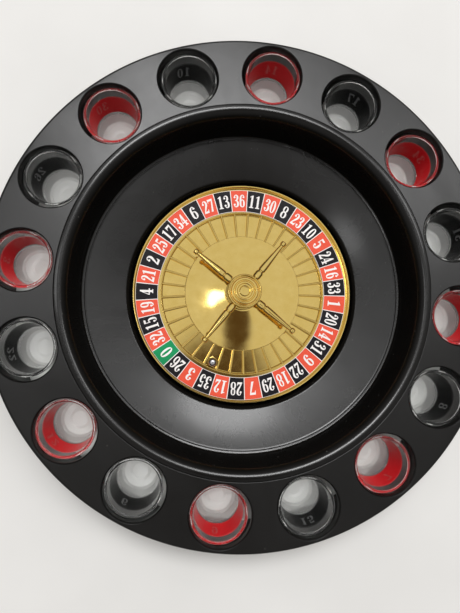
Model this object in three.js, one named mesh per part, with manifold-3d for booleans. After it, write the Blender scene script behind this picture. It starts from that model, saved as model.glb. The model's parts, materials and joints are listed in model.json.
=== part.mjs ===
// A tabletop drinking-game roulette wheel. A round moulded deck carries shot glasses in a ring of holes,
// a roulette bowl drops into its middle, and a gold rotor with a four-armed turret spins in the bowl.
// Millimetres, +Z up. The origin is the middle of the circle that the deck's skirt stands on.

import * as THREE from 'three';
import { mergeVertices } from 'three/addons/utils/BufferGeometryUtils.js';
import Module from 'manifold-3d';

const wasm = await Module();
wasm.setup();

// ---------------------------------------------------------------- driving dimensions

const FIT = 0.3;                  // gap between two parts that touch

// deck
const DECK_RADIUS = 145;
const DECK_TOP = 45;
const DECK_PLATE = 2.4;           // thickness of the flat top
const DECK_EDGE_ROUND = 1.8;
const SKIRT_WALL = 2.4;
const SKIRT_DRAFT = 0.6;          // the skirt leans in by this much at its foot
const SEAM_RADIUS = 106.3;        // where the deck meets the bowl's lip
const LEDGE_RADIUS = 103.5;       // inner edge of the ledge that the bowl hangs on
const LEDGE_DROP = 2.9;           // the ledge lies this far below the deck's top
const COLLAR_FOOT = 36.5;         // height of the bottom of the ledge's collar

// holes and glasses
const GLASS_COUNT = 16;
const FIRST_GLASS_ANGLE = 82.9;   // degrees, counter-clockwise from +X
const HOLE_CIRCLE_RADIUS = 125.1;
const HOLE_RADIUS = 17.1;
const HOLE_DEPTH = 5;             // depth of the short tube that lines each hole
const HOLE_TUBE_WALL = 1.6;
const GLASS_RIM_RADIUS = 16;
const GLASS_FOOT_RADIUS = 12.3;
const GLASS_HEIGHT = 42;
const GLASS_WALL = 1.5;
const GLASS_BASE = 7.8;           // thickness of the solid glass base
const GLASS_SHIFT = 0.7;          // each glass stands this far clockwise of its hole's centre

// bowl
const BOWL_WALL = 2.2;
const LIP_CREST_RADIUS = 103.2;
const LIP_CREST = 46.6;
const LIP_INNER_RADIUS = 100.6;
const TRACK_RADIUS = 95.9;        // foot of the steep wall, where the ball track starts
const TRACK_HEIGHT = 24.4;
const TRACK_EDGE_RADIUS = 94;
const WELL_RADIUS = 68.6;         // the well that the rotor turns in
const WELL_EDGE_HEIGHT = 19;
const WELL_FLOOR = 9.6;
const BOSS_RADIUS = 8.8;
const BOSS_TOP = 12;
const BOSS_FOOT = 2;
const SNAP_COUNT = 6;

// rotor
const POCKET_COUNT = 37;
const ZERO_ANGLE = 216.9;         // degrees, middle of the pocket numbered zero
const ROTOR_RADIUS = 66.7;
const ROTOR_RIM_TOP = 20;
const ROTOR_FOOT = 12.6;
const ROTOR_PLATE = 1.8;
const NUMBER_OUTER = 65.8;
const NUMBER_INNER = 50.2;
const NUMBER_SEAT = 17.2;
const NUMBER_THICKNESS = 0.5;
const NUMBER_RING_OUTER = 64.8;
const NUMBER_RING_INNER = 51.3;
const NUMBER_RING_SHIFT = 0.7;    // the printed ring is stuck down this far off centre
const NUMBER_RING_SHIFT_ANGLE = 218;
const POCKET_OUTER = 49.6;
const POCKET_INNER = 35.4;
const POCKET_FLOOR = 15.2;
const FRET_TOP = 17.3;
const FRET_WIDTH = 1.5;
const CONE_FOOT = 17;
const CONE_TOP_RADIUS = 11;
const CONE_TOP = 21;
const ROTOR_BORE = 4.9;

// spindle
const SPINDLE_RADIUS = 2.5;
const SPINDLE_TOP = 26;
const CLIP_HEIGHT = 21.9;
const CLIP_THICKNESS = 0.6;
const CLIP_RADIUS = 4.8;

// turret
const TURRET_RADIUS = 10.2;
const TURRET_TOP = 32;
const TURRET_BORE = 5.6;
const CAP_RADIUS = 8.7;
const ARM_COUNT = 4;
const FIRST_ARM_ANGLE = 50.4;
const ARM_HEIGHT = 28.8;
const ARM_TIP = 37;               // distance from the axis to the middle of an arm's end ball
const SCREW_COUNT = 3;
const SCREW_CIRCLE = 7.4;
const FIRST_SCREW_ANGLE = 5.4;

// ball
const BALL_RADIUS = 2.9;
const BALL_POCKET = 3;            // pockets counter-clockwise from zero

// facets round each turned part
const LARGE_FACETS = 40;
const HOLE_FACETS = 20;
const SMALL_FACETS = 16;
const PIN_FACETS = 10;

// ---------------------------------------------------------------- materials

const material = (color, roughness, metalness = 0) =>
  new THREE.MeshStandardMaterial({ color, roughness, metalness });

const blackPlastic = material(0x1b1a1d, 0.35);
const goldPlate = material(0xd4ac4e, 0.15, 1);
const printedCard = material(0xe8604c, 0.5);
const clearGlass = material(0xe6ece8, 0.05);
clearGlass.transparent = true;
clearGlass.opacity = 0.35;
const steel = material(0xb8bac0, 0.2, 1);
const bronze = material(0xa8804a, 0.4, 1);
const nylon = material(0xe9e6da, 0.6);

// ---------------------------------------------------------------- geometry helpers

const radians = (degrees) => degrees * Math.PI / 180;

// Points on an arc in the (radius, height) plane, both ends included.
function arc(centreR, centreZ, radius, fromDegrees, toDegrees, steps) {
  const points = [];
  for (let i = 0; i <= steps; i += 1) {
    const angle = radians(fromDegrees + (toDegrees - fromDegrees) * i / steps);
    points.push([centreR + radius * Math.cos(angle), centreZ + radius * Math.sin(angle)]);
  }
  return points;
}

// Turns an outline of [radius, height] points about Z. The outline runs counter-clockwise.
function turned(outline, facets) {
  const points = outline.map(([r, z]) => new THREE.Vector2(r, z));
  return new THREE.LatheGeometry(points, facets).rotateX(Math.PI / 2);
}

// The same, for an outline that goes round a hole and closes on itself.
const turnedRing = (outline, facets) => turned([...outline, outline[0]], facets);

// A plain cylinder about Z between two heights.
const rod = (radius, bottom, top, facets) =>
  new THREE.CylinderGeometry(radius, radius, top - bottom, facets)
    .rotateX(Math.PI / 2)
    .translate(0, 0, (bottom + top) / 2);

// A closed geometry as a solid that can be cut and joined.
function solid(geometry) {
  const bare = geometry.clone();
  bare.deleteAttribute('normal');
  bare.deleteAttribute('uv');
  const merged = mergeVertices(bare, 1e-4);
  const corners = merged.index.array;
  const triangles = [];
  for (let i = 0; i < corners.length; i += 3) {
    const [a, b, c] = corners.subarray(i, i + 3);
    if (a !== b && b !== c && c !== a) triangles.push(a, b, c);
  }
  const vertProperties = Float32Array.from(merged.attributes.position.array);
  const triVerts = Uint32Array.from(triangles);
  return new wasm.Manifold(new wasm.Mesh({ numProp: 3, vertProperties, triVerts }));
}

// A solid back as a geometry.
function geometryOf(manifold) {
  const mesh = manifold.getMesh();
  const geometry = new THREE.BufferGeometry();
  geometry.setAttribute('position', new THREE.BufferAttribute(mesh.vertProperties, 3));
  geometry.setIndex(new THREE.BufferAttribute(mesh.triVerts, 1));
  geometry.computeVertexNormals();
  return geometry;
}

const joined = (base, parts) => parts.reduce((sum, part) => sum.add(solid(part)), base);
const cut = (base, tools) => tools.reduce((rest, tool) => rest.subtract(solid(tool)), base);

// Calls make(angle in radians, index) once for each of count equal steps round the axis.
const around = (count, firstDegrees, make) =>
  Array.from({ length: count }, (_, i) => make(radians(firstDegrees + 360 * i / count), i));

// Moves a geometry made on the axis out to a radius at an angle.
const outTo = (geometry, radius, angle) => geometry.translate(radius, 0, 0).rotateZ(angle);

function piece(name, geometry, finish) {
  const mesh = new THREE.Mesh(geometry, finish);
  mesh.name = name;
  return mesh;
}

// ---------------------------------------------------------------- deck

// The outer shell: a flat ring with a skirt to the table, a ledge for the bowl and a tube under each hole.
function deckRing() {
  const underside = DECK_TOP - DECK_PLATE;
  const ledge = DECK_TOP - LEDGE_DROP;
  const roundCentre = DECK_RADIUS - DECK_EDGE_ROUND;
  const shell = turnedRing([
    [DECK_RADIUS - SKIRT_DRAFT, 0],
    ...arc(roundCentre, DECK_TOP - DECK_EDGE_ROUND, DECK_EDGE_ROUND, 0, 90, 2),
    [SEAM_RADIUS + 0.5, DECK_TOP],
    [SEAM_RADIUS, DECK_TOP - 0.5],
    [SEAM_RADIUS, ledge],
    [LEDGE_RADIUS, ledge],
    [LEDGE_RADIUS, COLLAR_FOOT],
    [LEDGE_RADIUS + SKIRT_WALL, COLLAR_FOOT],
    [LEDGE_RADIUS + SKIRT_WALL, ledge - DECK_PLATE],
    [SEAM_RADIUS + DECK_PLATE, ledge - DECK_PLATE],
    [SEAM_RADIUS + DECK_PLATE, underside],
    [DECK_RADIUS - SKIRT_WALL, underside],
    [DECK_RADIUS - SKIRT_DRAFT - SKIRT_WALL, 0],
  ], LARGE_FACETS);
  const tubeFoot = DECK_TOP - HOLE_DEPTH;
  const tubes = around(GLASS_COUNT, FIRST_GLASS_ANGLE, (angle) => {
    const tube = rod(HOLE_RADIUS + HOLE_TUBE_WALL, tubeFoot, underside + FIT, HOLE_FACETS);
    return outTo(tube, HOLE_CIRCLE_RADIUS, angle);
  });
  const holes = around(GLASS_COUNT, FIRST_GLASS_ANGLE, (angle) => {
    const hole = rod(HOLE_RADIUS, tubeFoot - 1, DECK_TOP + 1, HOLE_FACETS);
    return outTo(hole, HOLE_CIRCLE_RADIUS, angle);
  });
  return piece('deck_ring', geometryOf(cut(joined(solid(shell), tubes), holes)), blackPlastic);
}

// ---------------------------------------------------------------- bowl

// The bowl hangs on the deck's ledge by its lip. Snap tabs on its outside catch under the ledge's collar.
function bowl() {
  const flange = DECK_TOP - LEDGE_DROP + FIT;
  const shell = turnedRing([
    [SPINDLE_RADIUS + FIT, BOSS_FOOT],
    [BOSS_RADIUS - 1, BOSS_FOOT],
    [BOSS_RADIUS, WELL_FLOOR - BOWL_WALL],
    [WELL_RADIUS + BOWL_WALL, WELL_FLOOR - BOWL_WALL],
    [WELL_RADIUS + BOWL_WALL + 0.8, WELL_EDGE_HEIGHT - BOWL_WALL],
    [TRACK_RADIUS + 0.6, TRACK_HEIGHT - BOWL_WALL],
    [TRACK_RADIUS + BOWL_WALL, TRACK_HEIGHT - 1],
    [LEDGE_RADIUS - FIT, flange],
    [SEAM_RADIUS - FIT, flange],
    [SEAM_RADIUS - FIT, DECK_TOP - 0.4],
    [SEAM_RADIUS - 1.2, DECK_TOP + 0.8],
    [LIP_CREST_RADIUS, LIP_CREST],
    [LIP_INNER_RADIUS + 0.9, LIP_CREST - 0.6],
    [LIP_INNER_RADIUS, DECK_TOP - 0.2],
    [TRACK_RADIUS, TRACK_HEIGHT + 1],
    [TRACK_RADIUS - 1, TRACK_HEIGHT],
    [TRACK_EDGE_RADIUS + 0.6, TRACK_HEIGHT - 0.1],
    [TRACK_EDGE_RADIUS, TRACK_HEIGHT + 0.5],
    [WELL_RADIUS + 2.2, WELL_EDGE_HEIGHT + 0.4],
    [WELL_RADIUS + 0.8, WELL_EDGE_HEIGHT - 0.8],
    [WELL_RADIUS, WELL_FLOOR],
    [BOSS_RADIUS + 0.6, WELL_FLOOR],
    [BOSS_RADIUS, BOSS_TOP],
    [SPINDLE_RADIUS + FIT, BOSS_TOP],
  ], LARGE_FACETS);
  const tabs = around(SNAP_COUNT, 0, (angle) => {
    const tab = new THREE.BoxGeometry(4, 8, 2.2).translate(0, 0, COLLAR_FOOT - 1.7);
    return outTo(tab, LEDGE_RADIUS - 0.8, angle);
  });
  return piece('bowl', geometryOf(joined(solid(shell), tabs)), blackPlastic);
}

// The headed pin that the rotor turns on, with a groove for its clip.
function spindle() {
  const groove = SPINDLE_RADIUS - 0.5;
  const outline = [
    [0, BOSS_FOOT - 1.2],
    [4.5, BOSS_FOOT - 1.2],
    [4.5, BOSS_FOOT - 0.2],
    [SPINDLE_RADIUS, BOSS_FOOT - 0.2],
    [SPINDLE_RADIUS, CLIP_HEIGHT - 0.2],
    [groove, CLIP_HEIGHT - 0.2],
    [groove, CLIP_HEIGHT + CLIP_THICKNESS + 0.2],
    [SPINDLE_RADIUS, CLIP_HEIGHT + CLIP_THICKNESS + 0.2],
    [SPINDLE_RADIUS, SPINDLE_TOP - 0.6],
    [SPINDLE_RADIUS - 0.6, SPINDLE_TOP],
    [0, SPINDLE_TOP],
  ];
  return piece('spindle', turned(outline, PIN_FACETS), steel);
}

// A flat ring about Z.
const washer = (inner, outer, bottom, top, facets) =>
  turnedRing([[inner, bottom], [outer, bottom], [outer, top], [inner, top]], facets);

function thrustWasher() {
  const ring = washer(SPINDLE_RADIUS + FIT, BOSS_RADIUS - 1, BOSS_TOP + 0.1, BOSS_TOP + 0.7, SMALL_FACETS);
  return piece('thrust_washer', ring, nylon);
}

// A C-shaped clip pressed sideways into the spindle's groove.
function retainingClip() {
  const inner = SPINDLE_RADIUS - 0.5 + FIT;
  const mouth = 0.55;
  const outline = new THREE.Shape();
  outline.absarc(0, 0, CLIP_RADIUS, mouth, 2 * Math.PI - mouth, false);
  outline.absarc(0, 0, inner, 2 * Math.PI - mouth, mouth, true);
  outline.closePath();
  const settings = { depth: CLIP_THICKNESS, bevelEnabled: false, curveSegments: 14 };
  const clip = new THREE.ExtrudeGeometry(outline, settings);
  return piece('retaining_clip', clip.translate(0, 0, CLIP_HEIGHT), steel);
}

// ---------------------------------------------------------------- rotor

// Frets stand on the borders between pockets, and the rotor's facets meet under them.
const FIRST_FRET_ANGLE = ZERO_ANGLE + 180 / POCKET_COUNT;
const LATHE_START_ANGLE = -90;
const withFretPhase = (geometry) => geometry.rotateZ(radians(FIRST_FRET_ANGLE - LATHE_START_ANGLE));

// A ridge with a rounded top, from the cone's edge to the pockets' outer wall.
function fret() {
  const half = FRET_WIDTH / 2;
  const section = new THREE.Shape([
    new THREE.Vector2(-half, POCKET_FLOOR - 0.4),
    new THREE.Vector2(half, POCKET_FLOOR - 0.4),
    new THREE.Vector2(half, FRET_TOP - 0.5),
    new THREE.Vector2(half - 0.4, FRET_TOP),
    new THREE.Vector2(0.4 - half, FRET_TOP),
    new THREE.Vector2(-half, FRET_TOP - 0.5),
  ]);
  const length = POCKET_OUTER - POCKET_INNER + 1;
  return new THREE.ExtrudeGeometry(section, { depth: length, bevelEnabled: false })
    .rotateX(Math.PI / 2)
    .rotateZ(Math.PI / 2)
    .translate(POCKET_INNER - 0.5, 0, 0);
}

function rotor() {
  const underPocket = POCKET_FLOOR - ROTOR_PLATE;
  const underSeat = NUMBER_SEAT - ROTOR_PLATE;
  const disc = turnedRing([
    [ROTOR_BORE, BOSS_TOP + 1],
    [CONE_TOP_RADIUS, BOSS_TOP + 1],
    [CONE_TOP_RADIUS + 1, CONE_TOP - ROTOR_PLATE],
    [POCKET_INNER - ROTOR_PLATE, CONE_FOOT - ROTOR_PLATE],
    [POCKET_INNER - ROTOR_PLATE, underPocket],
    [POCKET_OUTER + ROTOR_PLATE, underPocket],
    [POCKET_OUTER + ROTOR_PLATE, underSeat],
    [ROTOR_RADIUS - ROTOR_PLATE, underSeat],
    [ROTOR_RADIUS - ROTOR_PLATE, ROTOR_FOOT],
    [ROTOR_RADIUS, ROTOR_FOOT],
    [ROTOR_RADIUS, ROTOR_RIM_TOP - 0.3],
    [ROTOR_RADIUS - 0.3, ROTOR_RIM_TOP],
    [NUMBER_OUTER + 0.2, ROTOR_RIM_TOP],
    [NUMBER_OUTER, NUMBER_SEAT],
    [NUMBER_INNER, NUMBER_SEAT],
    [NUMBER_INNER - 0.2, FRET_TOP + 0.8],
    [POCKET_OUTER + 0.15, FRET_TOP + 0.6],
    [POCKET_OUTER - 0.2, POCKET_FLOOR],
    [POCKET_INNER + 0.2, POCKET_FLOOR],
    [POCKET_INNER, CONE_FOOT - 0.4],
    [POCKET_INNER - 0.6, CONE_FOOT],
    [CONE_TOP_RADIUS, CONE_TOP],
    [ROTOR_BORE, CONE_TOP],
  ], POCKET_COUNT);
  const frets = around(POCKET_COUNT, FIRST_FRET_ANGLE, (angle) => fret().rotateZ(angle));
  const screwHoles = around(SCREW_COUNT, FIRST_SCREW_ANGLE, (angle) =>
    outTo(rod(1.2, BOSS_TOP, CONE_TOP + 1, PIN_FACETS), SCREW_CIRCLE, angle));
  const headHoles = around(SCREW_COUNT, FIRST_SCREW_ANGLE, (angle) =>
    outTo(rod(2.1, BOSS_TOP, BOSS_TOP + 3.2, PIN_FACETS), SCREW_CIRCLE, angle));
  const fretted = joined(solid(withFretPhase(disc)), frets);
  return piece('rotor', geometryOf(cut(fretted, [...screwHoles, ...headHoles])), goldPlate);
}

function numberRing() {
  const bottom = NUMBER_SEAT + 0.1;
  const top = bottom + NUMBER_THICKNESS;
  const ring = withFretPhase(washer(NUMBER_RING_INNER, NUMBER_RING_OUTER, bottom, top, POCKET_COUNT));
  const away = radians(NUMBER_RING_SHIFT_ANGLE);
  ring.translate(NUMBER_RING_SHIFT * Math.cos(away), NUMBER_RING_SHIFT * Math.sin(away), 0);
  return piece('number_ring', ring, printedCard);
}

function rotorBush() {
  const top = CONE_TOP + 0.6;
  const bush = washer(SPINDLE_RADIUS + 0.25, ROTOR_BORE - FIT, BOSS_TOP + 0.9, top, SMALL_FACETS);
  return piece('rotor_bush', bush, bronze);
}

// ---------------------------------------------------------------- turret

// Hollow column with a wide head. The arms plug into its side and the cap drops into its top.
function turretColumn() {
  const foot = CONE_TOP + 0.2;
  const capSeat = TURRET_TOP - 1.8;
  const shell = turnedRing([
    [TURRET_BORE, foot],
    [TURRET_RADIUS + 0.4, foot],
    [TURRET_RADIUS + 0.4, foot + 1.3],
    [TURRET_RADIUS - 1.1, foot + 2.8],
    [TURRET_RADIUS - 1.1, foot + 3.9],
    [TURRET_RADIUS, foot + 5.2],
    [TURRET_RADIUS, TURRET_TOP - 0.5],
    [TURRET_RADIUS - 0.5, TURRET_TOP],
    [CAP_RADIUS + 0.6, TURRET_TOP],
    [CAP_RADIUS + FIT, TURRET_TOP - 0.4],
    [CAP_RADIUS + FIT, capSeat],
    [TURRET_BORE, capSeat],
  ], SMALL_FACETS);
  const sockets = around(ARM_COUNT, FIRST_ARM_ANGLE, (angle) =>
    rod(1.5, 0, TURRET_RADIUS + 1, PIN_FACETS)
      .rotateY(Math.PI / 2)
      .translate(0, 0, ARM_HEIGHT)
      .rotateZ(angle));
  const screwHoles = around(SCREW_COUNT, FIRST_SCREW_ANGLE, (angle) =>
    outTo(rod(1.2, foot - 1, foot + 5, PIN_FACETS), SCREW_CIRCLE, angle));
  return piece('turret_column', geometryOf(cut(solid(shell), [...sockets, ...screwHoles])), goldPlate);
}

// A disc with a ring and a button raised on it.
function turretCap() {
  const outline = [
    [0, TURRET_TOP - 1.6],
    [CAP_RADIUS, TURRET_TOP - 1.6],
    [CAP_RADIUS, TURRET_TOP - 0.9],
    [6.6, TURRET_TOP - 0.7],
    [6.1, TURRET_TOP - 0.2],
    [4.9, TURRET_TOP - 0.2],
    [4.4, TURRET_TOP - 0.9],
    [2.9, TURRET_TOP - 0.9],
    [2.3, TURRET_TOP - 0.2],
    [0, TURRET_TOP - 0.2],
  ];
  return piece('turret_cap', turned(outline, SMALL_FACETS), goldPlate);
}

// A turned handle: a spigot, a collar, a groove, a long taper and an end ball. It points along +X.
function armGeometry() {
  const outline = [
    [0, TURRET_BORE + 1],
    [1.2, TURRET_BORE + 1],
    [1.2, TURRET_RADIUS + FIT],
    [2.35, TURRET_RADIUS + FIT],
    [2.35, 14.8],
    [1.7, 15.3],
    [2.2, 16.4],
    [1.15, ARM_TIP - 1.6],
    [1.75, ARM_TIP],
    [1.1, ARM_TIP + 1.3],
    [0, ARM_TIP + 1.75],
  ];
  return turned(outline, PIN_FACETS).rotateY(Math.PI / 2);
}

function turretArms() {
  const geometry = armGeometry();
  return around(ARM_COUNT, FIRST_ARM_ANGLE, (angle, i) => {
    const arm = piece(`turret_arm_${i + 1}`, geometry, goldPlate);
    arm.position.z = ARM_HEIGHT;
    arm.rotation.z = angle;
    return arm;
  });
}

// Screws driven up through the rotor into the column.
function turretScrews() {
  const head = BOSS_TOP + 1.3;
  const outline = [
    [0, head],
    [1.8, head],
    [1.8, head + 1.4],
    [0.9, head + 1.6],
    [0.9, CONE_TOP + 4.2],
    [0, CONE_TOP + 4.8],
  ];
  const geometry = turned(outline, PIN_FACETS);
  return around(SCREW_COUNT, FIRST_SCREW_ANGLE, (angle, i) => {
    const screw = piece(`turret_screw_${i + 1}`, geometry, steel);
    screw.position.set(SCREW_CIRCLE * Math.cos(angle), SCREW_CIRCLE * Math.sin(angle), 0);
    return screw;
  });
}

// ---------------------------------------------------------------- ball and glasses

// The ball lies in its pocket against the outer wall.
function ball() {
  const mesh = piece('ball', new THREE.SphereGeometry(BALL_RADIUS, 16, 10), steel);
  const angle = radians(ZERO_ANGLE + 360 * BALL_POCKET / POCKET_COUNT);
  const distance = POCKET_OUTER - 0.6 - BALL_RADIUS;
  const height = POCKET_FLOOR + 0.1 + BALL_RADIUS;
  mesh.position.set(distance * Math.cos(angle), distance * Math.sin(angle), height);
  return mesh;
}

// A tapered shot glass with a thick base.
function glassGeometry() {
  const innerRim = GLASS_RIM_RADIUS - GLASS_WALL;
  const outline = [
    [0, 0],
    [GLASS_FOOT_RADIUS - 0.5, 0],
    [GLASS_FOOT_RADIUS, 0.6],
    [GLASS_RIM_RADIUS, GLASS_HEIGHT - 0.5],
    [GLASS_RIM_RADIUS - 0.5, GLASS_HEIGHT],
    [innerRim, GLASS_HEIGHT - 0.3],
    [GLASS_FOOT_RADIUS - 1.1, GLASS_BASE + 0.8],
    [GLASS_FOOT_RADIUS - 2.3, GLASS_BASE],
    [0, GLASS_BASE - 0.3],
  ];
  return turned(outline, SMALL_FACETS);
}

function glasses() {
  const geometry = glassGeometry();
  const shift = GLASS_SHIFT / HOLE_CIRCLE_RADIUS;
  return around(GLASS_COUNT, FIRST_GLASS_ANGLE, (holeAngle, i) => {
    const angle = holeAngle - shift;
    const glass = piece(`glass_${String(i + 1).padStart(2, '0')}`, geometry, clearGlass);
    glass.position.set(HOLE_CIRCLE_RADIUS * Math.cos(angle), HOLE_CIRCLE_RADIUS * Math.sin(angle), 0);
    return glass;
  });
}

// ---------------------------------------------------------------- assembly

const base = new THREE.Group();
base.add(deckRing(), bowl(), spindle(), thrustWasher(), retainingClip());

const turret = new THREE.Group();
turret.add(turretColumn(), turretCap(), ...turretArms(), ...turretScrews());

const wheel = new THREE.Group();
wheel.add(rotor(), numberRing(), rotorBush(), turret);

const model = new THREE.Group();
model.add(base, wheel, ball(), ...glasses());

export default model;
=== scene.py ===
import json
import math

import bmesh
import bpy
from mathutils import Matrix, Vector

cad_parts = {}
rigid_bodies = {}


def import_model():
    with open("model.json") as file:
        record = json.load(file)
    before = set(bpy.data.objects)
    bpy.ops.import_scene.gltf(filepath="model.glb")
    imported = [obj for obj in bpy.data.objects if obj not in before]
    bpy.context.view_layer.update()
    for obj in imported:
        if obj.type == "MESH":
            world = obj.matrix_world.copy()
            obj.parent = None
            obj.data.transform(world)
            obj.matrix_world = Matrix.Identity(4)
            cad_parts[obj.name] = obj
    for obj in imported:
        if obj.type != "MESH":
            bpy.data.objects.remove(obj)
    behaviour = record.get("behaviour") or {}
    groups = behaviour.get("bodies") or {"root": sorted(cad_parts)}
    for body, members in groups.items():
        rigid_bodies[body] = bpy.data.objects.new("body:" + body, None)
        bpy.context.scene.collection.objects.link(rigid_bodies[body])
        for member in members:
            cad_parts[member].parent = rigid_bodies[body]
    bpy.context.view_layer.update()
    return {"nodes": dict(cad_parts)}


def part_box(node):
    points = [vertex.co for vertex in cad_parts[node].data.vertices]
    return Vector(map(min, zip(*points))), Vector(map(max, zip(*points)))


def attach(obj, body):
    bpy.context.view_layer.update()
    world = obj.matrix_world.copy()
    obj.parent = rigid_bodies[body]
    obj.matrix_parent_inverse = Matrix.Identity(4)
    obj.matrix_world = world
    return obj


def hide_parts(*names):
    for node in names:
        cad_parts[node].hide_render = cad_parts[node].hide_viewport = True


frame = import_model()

# Looks for a drinking-game roulette wheel: a black deck with shot glasses, a black bowl and a gold rotor.
# Outlines are in millimetres, as (radius, height) or (radius, height, rounding), and are scaled to metres.

MM = 0.001
TAU = 2 * math.pi


# ------ sizes read from the frame, in millimetres

def low_mm(node):
    return Vector(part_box(node)[0]) / MM


def high_mm(node):
    return Vector(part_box(node)[1]) / MM


DECK_RADIUS = high_mm("deck_ring").x
DECK_TOP = high_mm("deck_ring").z
LIP_RADIUS = high_mm("bowl").x
LIP_CREST = high_mm("bowl").z
BOSS_FOOT = low_mm("bowl").z
NUMBER_TOP = high_mm("number_ring").z
TURRET_TOP = high_mm("turret_column").z
TURRET_FOOT = low_mm("turret_column").z
GLASS_HEIGHT = high_mm("glass_01").z
BALL_MIDDLE = (low_mm("ball") + high_mm("ball")) / 2
BALL_RADIUS = (high_mm("ball").z - low_mm("ball").z) / 2
ARM_HEIGHT = (low_mm("turret_arm_1").z + high_mm("turret_arm_1").z) / 2

# ------ sizes shared with the CAD model

FIT = 0.3  # gap between two parts that touch

DECK_PLATE = 2.4
DECK_EDGE_ROUND = 1.8
SKIRT_WALL = 2.4
SKIRT_DRAFT = 0.6
SEAM_RADIUS = 106.3
LEDGE_RADIUS = 103.5
LEDGE_DROP = 2.9
COLLAR_FOOT = 36.5

GLASS_COUNT = 16
FIRST_GLASS_ANGLE = math.radians(82.9)
HOLE_CIRCLE_RADIUS = 125.1
HOLE_RADIUS = 17.1
HOLE_DEPTH = 5
HOLE_TUBE_WALL = 1.6
GLASS_RIM_RADIUS = 16
GLASS_FOOT_RADIUS = 12.3
GLASS_WALL = 1.5
GLASS_BASE = 7.8
GLASS_SHIFT = 0.7  # each glass stands this far clockwise of its hole's centre
BAND_BOTTOM = 18.6  # the painted band round each glass
BAND_TOP = 35.0

BOWL_WALL = 2.2
TRACK_RADIUS = 95.9
TRACK_HEIGHT = 24.4
TRACK_EDGE_RADIUS = 94
WELL_RADIUS = 68.6
WELL_EDGE_HEIGHT = 19
WELL_FLOOR = 9.6
BOSS_RADIUS = 8.8
BOSS_TOP = 12
SNAP_COUNT = 6

POCKET_COUNT = 37
ZERO_ANGLE = math.radians(216.9)
ROTOR_RADIUS = 66.7
ROTOR_RIM_TOP = 20
ROTOR_FOOT = 12.6
ROTOR_PLATE = 1.8
NUMBER_OUTER = 65.8
NUMBER_INNER = 50.2
NUMBER_SEAT = 17.2
NUMBER_RING_OUTER = 64.8
NUMBER_RING_INNER = 51.3
NUMBER_RING_SHIFT = 0.7
NUMBER_RING_SHIFT_ANGLE = math.radians(218)
NUMBER_RING_TURN = math.radians(0.8)
POCKET_OUTER = 49.6
POCKET_INNER = 35.4
POCKET_FLOOR = 15.2
FRET_TOP = 17.3
FRET_WIDTH = 1.5
CONE_FOOT = 17
CONE_TOP_RADIUS = 11
CONE_TOP = 21
ROTOR_BORE = 4.9

SPINDLE_RADIUS = 2.5
TURRET_RADIUS = 10.2
TURRET_BORE = 5.6
CAP_RADIUS = 8.7
ARM_COUNT = 4
FIRST_ARM_ANGLE = math.radians(50.4)
ARM_TIP = 37
SCREW_COUNT = 3
SCREW_CIRCLE = 7.4

SECTOR = TAU / POCKET_COUNT
WHEEL_ORDER = [0, 32, 15, 19, 4, 21, 2, 25, 17, 34, 6, 27, 13, 36, 11, 30, 8, 23, 10, 5, 24, 16, 33, 1,
               20, 14, 31, 9, 22, 18, 29, 7, 28, 12, 35, 3, 26]
RED_NUMBERS = {1, 3, 5, 7, 9, 12, 14, 16, 18, 19, 21, 23, 25, 27, 30, 32, 34, 36}

# ------ fineness of round surfaces

DISH_FACETS = 288  # deck and bowl
ROUND_FACETS = 96  # holes, turret and glasses
ROD_FACETS = 64  # spindle, washer and bush
ARC_STEPS = 5  # along each rounded corner of an outline


# ------ mesh helpers

def polar(radius, angle, height):
    """A place in metres, from a radius and a height in millimetres."""
    return radius * MM * math.cos(angle), radius * MM * math.sin(angle), height * MM


def around(count, first=0.0):
    """Evenly spaced angles, counter-clockwise."""
    return [first + TAU * i / count for i in range(count)]


def mesh_of(bm, name):
    mesh = bpy.data.meshes.new(name)
    bm.to_mesh(mesh)
    bm.free()
    return mesh


def closed_mesh(bm, name):
    """The mesh of a closed surface, with its faces turned outward."""
    bmesh.ops.recalc_face_normals(bm, faces=bm.faces)
    return mesh_of(bm, name)


def on_axis(outline):
    """Whether an outline runs from axis to axis, and so doesn't close on itself."""
    return outline[0][0] == 0


def rounded(outline):
    """The outline with an arc at each corner that has a rounding."""
    points = []
    count = len(outline)
    for i, corner in enumerate(outline):
        here = Vector(corner[:2])
        size = corner[2] if len(corner) > 2 else 0
        if not size or (on_axis(outline) and i in (0, count - 1)):
            points.append(here)
            continue
        before = Vector(outline[i - 1][:2]) - here
        after = Vector(outline[(i + 1) % count][:2]) - here
        half = before.angle(after) / 2
        reach = min(size / math.tan(half), before.length * 0.49, after.length * 0.49)
        radius = reach * math.tan(half)
        centre = here + (before.normalized() + after.normalized()).normalized() * (radius / math.sin(half))
        start = here + before.normalized() * reach - centre
        end = here + after.normalized() * reach - centre
        turn = start.angle_signed(end)
        for k in range(ARC_STEPS + 1):
            spin = Matrix.Rotation(-turn * k / ARC_STEPS, 2)
            points.append(centre + spin @ start)
    return points


def turned_mesh(name, outline, facets=ROUND_FACETS, phase=0.0):
    """A lathe mesh about Z. The outline closes on itself or runs from axis to axis."""
    bm = bmesh.new()
    rings = []
    for r, z in rounded(outline):
        if r == 0:
            rings.append([bm.verts.new((0, 0, z * MM))])
            continue
        rings.append([bm.verts.new(polar(r, angle, z)) for angle in around(facets, phase)])
    ends = [] if on_axis(outline) else rings[:1]
    for low, high in zip(rings, rings[1:] + ends):
        for k in range(facets):
            n = (k + 1) % facets
            corners = [low[k % len(low)], low[n % len(low)], high[n % len(high)], high[k % len(high)]]
            corners = [v for j, v in enumerate(corners) if v not in corners[:j]]
            if len(corners) > 2:
                bm.faces.new(corners)
    return closed_mesh(bm, name)


def rod_mesh(name, radius, bottom, top, facets):
    return turned_mesh(name, [(0, bottom), (radius, bottom), (radius, top), (0, top)], facets)


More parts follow.
